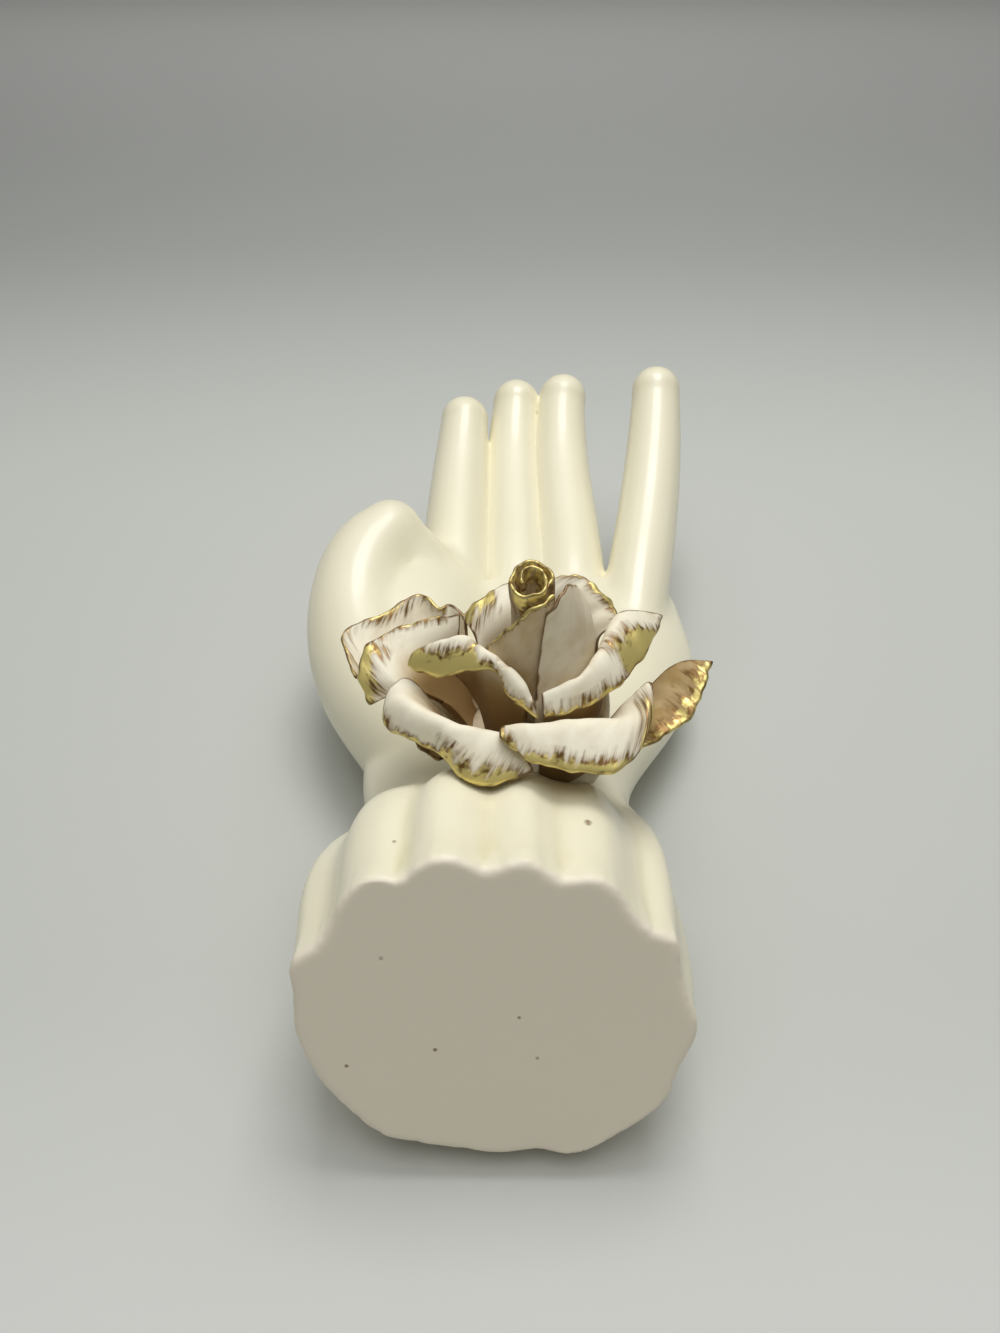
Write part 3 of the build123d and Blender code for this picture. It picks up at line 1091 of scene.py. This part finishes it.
def fluted(points):
    """The points with the cuff's rim drawn out into uneven lobes, lifted below, its face level."""
    depth, turn, reach, across, up = cuff_places(points)
    band = (depth > rim_band[0]) & (depth < rim_band[1])
    steps = np.arange(0, 360, rim_step)
    own = [reach[band & (np.abs((turn - step + 180) % 360 - 180) < rim_window)].mean() for step in steps]
    target = np.array(rim_outline)
    wanted = np.interp(turn, target[:, 0], target[:, 1] * mm, period=360)
    share = wanted / np.interp(turn, steps, own, period=360) - 1
    share *= 1 - ease(*lobe_fade, depth)
    moved = points + np.outer(share * up, np.array(base_up))
    moved[:, 0] += share * across
    lift = rim_lift * np.clip(1 - moved[:, 2] / rim_height, 0, 1) * (1 - ease(*lift_fade, depth))
    moved[:, 2] = np.maximum(moved[:, 2], 0) + lift
    moved[:, 1] -= lift_forward * lift * (1 - ease(*forward_fade, depth))
    face = (1 - ease(*face_depths, depth)) * (1 - ease(*face_shares, reach / wanted))
    level = depth[face > 0.99].mean()
    return moved + np.outer(face * (depth - level), np.array(base_normal))


def fuller(points, normals, fingers, thumb):
    """The points with the fingers and the thumb a little thicker."""
    side = -points[:, 0]
    run = points[:, 1]
    on_thumb = ease(*thumb_side, side) * ease(*thumb_start, run) * (1 - ease(*thumb_end, run))
    growth = np.maximum(fingers * ease(*finger_start, run), thumb * on_thumb)
    return points + normals * growth[:, None]


def swollen(points, normals):
    """The points with the palm's soft swellings and hollows pressed into its upper side."""
    moved = points.copy()
    facing = np.clip(normals[:, 2], 0, 1)
    for centre, radius, height in swellings:
        gap = np.linalg.norm(points - np.array(centre) * mm, axis=1)
        moved[:, 2] += height * mm * facing * np.exp(-((gap / (radius * mm)) ** 2))
    return moved


def hollow_of(piece, rounds=45, full=0.45 * mm):
    """How deep each point lies in a hollow, from 0 on open skin to 1 in a crease."""
    only(piece)
    bpy.ops.object.duplicate()
    relaxed = bpy.context.active_object
    soften(relaxed, rounds)
    outward = ((points_of(relaxed) - points_of(piece)) * points_of(piece, "normal")).sum(axis=1)
    bpy.data.objects.remove(relaxed)
    return ease(0.0, full, outward)


def cut_at_slab(piece, keep_base):
    """Keep the part of the skin on one side of the slab's back, and close the cut."""
    mesh = bmesh.new()
    mesh.from_mesh(piece.data)
    bmesh.ops.bisect_plane(
        mesh,
        geom=mesh.verts[:] + mesh.edges[:] + mesh.faces[:],
        plane_co=base_centre - base_normal * slab_thickness,
        plane_no=base_normal,
        clear_inner=keep_base,
        clear_outer=not keep_base,
    )
    edges = [edge for edge in mesh.edges if edge.is_boundary]
    bmesh.ops.holes_fill(mesh, edges=edges, sides=0)
    for edge in edges:
        edge.smooth = False
    mesh.normal_update()
    mesh.to_mesh(piece.data)
    mesh.free()
    piece.data.update()


class ROSEHAND_OT_casting(bpy.types.Operator):
    """Model the hand with its fluted cuff, and the slab that closes it, as one soft skin cut in two"""

    bl_idname = "rosehand.casting"
    bl_label = "Hand and Base"

    def execute(self, context):
        casting = context.scene.rosehand_casting
        hand = remeshed_skin("hand", ["hand_shell", "base_slab"], casting.grain, thumb_web)
        soften(hand, casting.first_softening)
        set_points(hand, fluted(points_of(hand)))
        points = points_of(hand)
        inward = (points - np.array(base_centre)) @ -np.array(base_normal)
        soften(hand, casting.softening, weigh(hand, "body", ease(*smooth_depths, inward)))
        knuckles = ease(*knuckle_start, points[:, 1]) * (1 - ease(*knuckle_end, points[:, 1]))
        soften(hand, casting.knuckle_softening, weigh(hand, "knuckles", knuckles))
        gap = np.linalg.norm(points_of(hand) - np.array(web_middle), axis=1)
        soften(hand, casting.web_softening, weigh(hand, "web", 1 - ease(*web_spread, gap)))
        set_points(hand, swollen(points_of(hand), points_of(hand, "normal")))
        fullness = (casting.finger_fullness, casting.thumb_fullness)
        set_points(hand, fuller(points_of(hand), points_of(hand, "normal"), *fullness))
        relief = np.zeros((len(points), 3))
        # Crease mask for the pooled colour: thicker glaze, and painted crease shade
        relief[:, 0] = hollow_of(hand) * ease(*hollow_depths, inward)
        relief[:, 1] = 1 - ease(*wiped_depths, inward)
        set_vectors(hand, "relief", relief)
        hand.vertex_groups.clear()
        only(hand)
        bpy.ops.object.shade_smooth()
        bpy.ops.object.duplicate()
        base = context.active_object
        base.name = "base"
        base.data.name = "base"
        cut_at_slab(hand, False)
        cut_at_slab(base, True)
        material = glaze_material(casting)
        attach(hand, ["hand_shell"], material)
        attach(base, ["base_slab"], material)
        return {"FINISHED"}


# Rose


class ROSEHAND_OT_core(bpy.types.Operator):
    """Model the wad of clay that carries the petals"""

    bl_idname = "rosehand.core"
    bl_label = "Rose Core"

    def execute(self, context):
        rose = context.scene.rosehand_rose
        core = remeshed_skin("core", ["rose_core"], core_grain)
        soften(core, core_softening)
        points = points_of(core) / mm
        count = len(points)
        tan_and_shade, foot_shade = core_tones
        sheet = np.stack([points[:, 0], points[:, 1] + points[:, 2], np.full(count, no_rim)], axis=1)
        gilt_and_shade = np.tile([0.0, 1 - foot_shade, tan_and_shade], (count, 1))
        set_vectors(core, "sheet", sheet)
        set_vectors(core, "gilt_and_shade", gilt_and_shade)
        only(core)
        bpy.ops.object.shade_smooth()
        attach(core, ["rose_core"], bisque(rose))
        return {"FINISHED"}


def lengths_along(grid, axis):
    """Length run along a grid's rows or columns up to each point, starting at zero."""
    steps = np.linalg.norm(np.diff(grid, axis=axis), axis=2)
    start = np.zeros_like(np.take(steps, [0], axis=axis))
    return np.concatenate([start, np.cumsum(steps, axis=axis)], axis=axis)


def units(vectors):
    """The vectors of a grid at length one."""
    return vectors / np.maximum(np.linalg.norm(vectors, axis=2, keepdims=True), 1e-12)


def wander(places, seed, pitch):
    """A gentle uneven wave between -1 and 1 along a length in metres."""
    turns = 2 * math.pi * places / pitch
    wave = sum(size * np.sin(rate * turns + seed * shift) for size, rate, shift in rim_waves)
    return wave / sum(size for size, _, _ in rim_waves)


def uneven(grid, rise, across, seed, rose):
    """The grid with its rim waved in and out and nibbled along its lip."""
    normals = units(np.cross(np.gradient(grid, axis=1), np.gradient(grid, axis=0)))
    wave = wander(across, seed, ruffle_pitch) * ease(*ruffle_range, rise) * rose.ruffle
    grid = grid + normals * wave[:, :, None]
    climb = units(np.gradient(grid, axis=0))
    ragged = wander(across, seed + nibble_seed, nibble_pitch) * ease(*nibble_range, rise) * rose.nibble
    return grid + climb * ragged[:, :, None]


def gilding_of(strokes, inward):
    """How much gold lies on each point of a grid, from its distances to the lip."""
    along = np.linspace(0, 1, inward.shape[1])[None, :]
    gilding = np.zeros(inward.shape)
    for start, end, depth, strength in strokes:
        begun = ease(start - stroke_outside, start + stroke_inside, along)
        ended = ease(end - stroke_inside, end + stroke_outside, along)
        fading = np.clip(1 - inward / (depth * mm), 0, 1)
        gilding = np.maximum(gilding, strength * begun * (1 - ended) * fading)
    return gilding


def bisque(rose):
    """The petals' material, made the first time that it is asked for."""
    return bpy.data.materials.get("gilded_bisque") or petal_material(rose)


def clay_sheet(name, grid, strokes, tones, seed, rose, rim_from=rim_start):
    """A solid sheet of clay over a grid of points from foot to lip, with its gilding on its points."""
    rows, columns = grid.shape[:2]
    rise = np.linspace(0, 1, rows)[:, None] * np.ones((1, columns))
    across = lengths_along(grid, 1)
    upward = lengths_along(grid, 0)
    inward = upward[-1:] - upward
    sideways = np.minimum(across, across[:, -1:] - across)
    rim = np.minimum(inward, np.where(rise > rim_from, sideways, sideways + foot_margin))
    grid = uneven(grid, rise, across, seed, rose)
    gilding = gilding_of(strokes, inward)
    bpy.ops.object.select_all(action="DESELECT")
    bpy.ops.mesh.primitive_grid_add(x_subdivisions=columns - 1, y_subdivisions=rows - 1)
    piece = bpy.context.active_object
    piece.name = "gilded_" + name
    piece.data.name = piece.name
    set_points(piece, grid.reshape(-1, 3))
    sheet = np.stack([across / mm + pattern_gap * seed, inward / mm, rim / mm], axis=2)
    tan_and_shade, foot_shade = tones
    # Gold, the rise that sets painted shade at the foot, and the tan, partly painted shade
    gilt_and_shade = np.stack([gilding, 1 - (1 - rise) * foot_shade, np.full_like(rise, tan_and_shade)], axis=2)
    set_vectors(piece, "sheet", sheet.reshape(-1, 3))
    set_vectors(piece, "gilt_and_shade", gilt_and_shade.reshape(-1, 3))
    body = weigh(piece, "body", ease(0.0, thin_rim, rim).ravel())
    solid = piece.modifiers.new("clay", "SOLIDIFY")
    solid.thickness = rose.petal_thickness
    solid.offset = 0
    solid.vertex_group = body
    solid.thickness_vertex_group = rose.rim_share
    soft = piece.modifiers.new("soften", "SUBSURF")
    soft.levels = 1
    soft.render_levels = 1
    finish_modifiers(piece)
    piece.vertex_groups.clear()
    bpy.ops.object.mode_set(mode="EDIT")
    bpy.ops.mesh.select_all(action="SELECT")
    bpy.ops.mesh.normals_make_consistent(inside=False)
    bpy.ops.object.mode_set(mode="OBJECT")
    bpy.ops.object.shade_smooth()
    attach(piece, [name], bisque(rose))


def petal_grid(petal, lean):
    """Points over a petal from foot to lip, as an array of rows and columns in metres."""
    net = []
    for row in petal.rows:
        points = []
        for turn, reach, height in row:
            side = rose_axis[0] + lean[0] * (height - bud_rise) + reach * math.cos(math.radians(turn))
            run = rose_axis[1] + lean[1] * (height - bud_rise) + reach * math.sin(math.radians(turn))
            points.append((side, run, core_height + height))
        net.append(points)
    net = np.array(net)
    steps = np.linalg.norm(np.diff(net, axis=0), axis=2).mean(axis=1)
    row_knots = np.concatenate([[0], np.cumsum(steps)]) / steps.sum()
    column_knots = np.linspace(0, 1, net.shape[1])
    tall = spline_through(row_knots, net, np.linspace(0, 1, petal_rows))
    wide = spline_through(column_knots, tall.transpose(1, 0, 2), np.linspace(0, 1, petal_columns))
    return wide.transpose(1, 0, 2) * mm


class ROSEHAND_OT_petals(bpy.types.Operator):
    """Model the petals of the rose and the two wraps of its bud from their nets"""

    bl_idname = "rosehand.petals"
    bl_label = "Petals"

    def execute(self, context):
        rose = context.scene.rosehand_rose
        for seed, (name, petal) in enumerate([*petals.items(), *wraps.items()]):
            lean = bud_lean if name in wraps else (0, 0)
            clay_sheet(name, petal_grid(petal, lean), petal.strokes, petal.tones, seed, rose)
        return {"FINISHED"}


class ROSEHAND_OT_bud(bpy.types.Operator):
    """Model the bud as a strip of clay rolled up on itself, with a flared lip"""

    bl_idname = "rosehand.bud"
    bl_label = "Bud Roll"

    def execute(self, context):
        rose = context.scene.rosehand_rose
        grid = np.zeros((roll_rows, roll_columns, 3))
        for column in range(roll_columns):
            share = column / (roll_columns - 1)
            turn = 2 * math.pi * roll_turns * share - math.radians(roll_start)
            for row in range(roll_rows):
                climb = row / (roll_rows - 1)
                reach = roll_radius - roll_pitch * max(0.0, roll_turns * share - roll_closed_turns)
                flare = roll_flare * float(ease(*roll_flare_range, climb))
                reach += flare * (1 - roll_flare_loss * share)
                x = reach * math.cos(turn)
                y = reach * math.sin(turn)
                top = roll_height + y * math.tan(math.radians(roll_slope))
                rise = climb * top
                grid[row, column] = (
                    rose_axis[0] + bud_lean[0] * rise + x,
                    rose_axis[1] + bud_lean[1] * rise + y,
                    core_height + bud_rise + rise,
                )
        clay_sheet("bud_roll", grid * mm, roll_strokes, roll_tones, roll_seed, rose, roll_rim_start)
        return {"FINISHED"}


class ROSEHAND_PT_panel(bpy.types.Panel):
    """Lists the steps that build the hand"""

    bl_idname = "ROSEHAND_PT_panel"
    bl_label = "Rose Hand"
    bl_space_type = "VIEW_3D"
    bl_region_type = "UI"
    bl_category = "Rose Hand"

    def draw(self, context):
        for operator in operators:
            self.layout.operator(operator.bl_idname)


property_groups = {
    "rosehand_casting": CastingProps,
    "rosehand_rose": RoseProps,
    "rosehand_stage": StageProps,
}
operators = [
    ROSEHAND_OT_stage,
    ROSEHAND_OT_casting,
    ROSEHAND_OT_core,
    ROSEHAND_OT_petals,
    ROSEHAND_OT_bud,
]


def register():
    for name, group in property_groups.items():
        bpy.utils.register_class(group)
        setattr(bpy.types.Scene, name, PointerProperty(type=group))
    for operator in operators:
        bpy.utils.register_class(operator)
    bpy.utils.register_class(ROSEHAND_PT_panel)


def unregister():
    bpy.utils.unregister_class(ROSEHAND_PT_panel)
    for operator in reversed(operators):
        bpy.utils.unregister_class(operator)
    for name, group in property_groups.items():
        delattr(bpy.types.Scene, name)
        bpy.utils.unregister_class(group)


def main():
    register()
    bpy.ops.rosehand.stage()
    bpy.ops.rosehand.casting()
    bpy.ops.rosehand.core()
    bpy.ops.rosehand.petals()
    bpy.ops.rosehand.bud()


if __name__ == "__main__":
    main()
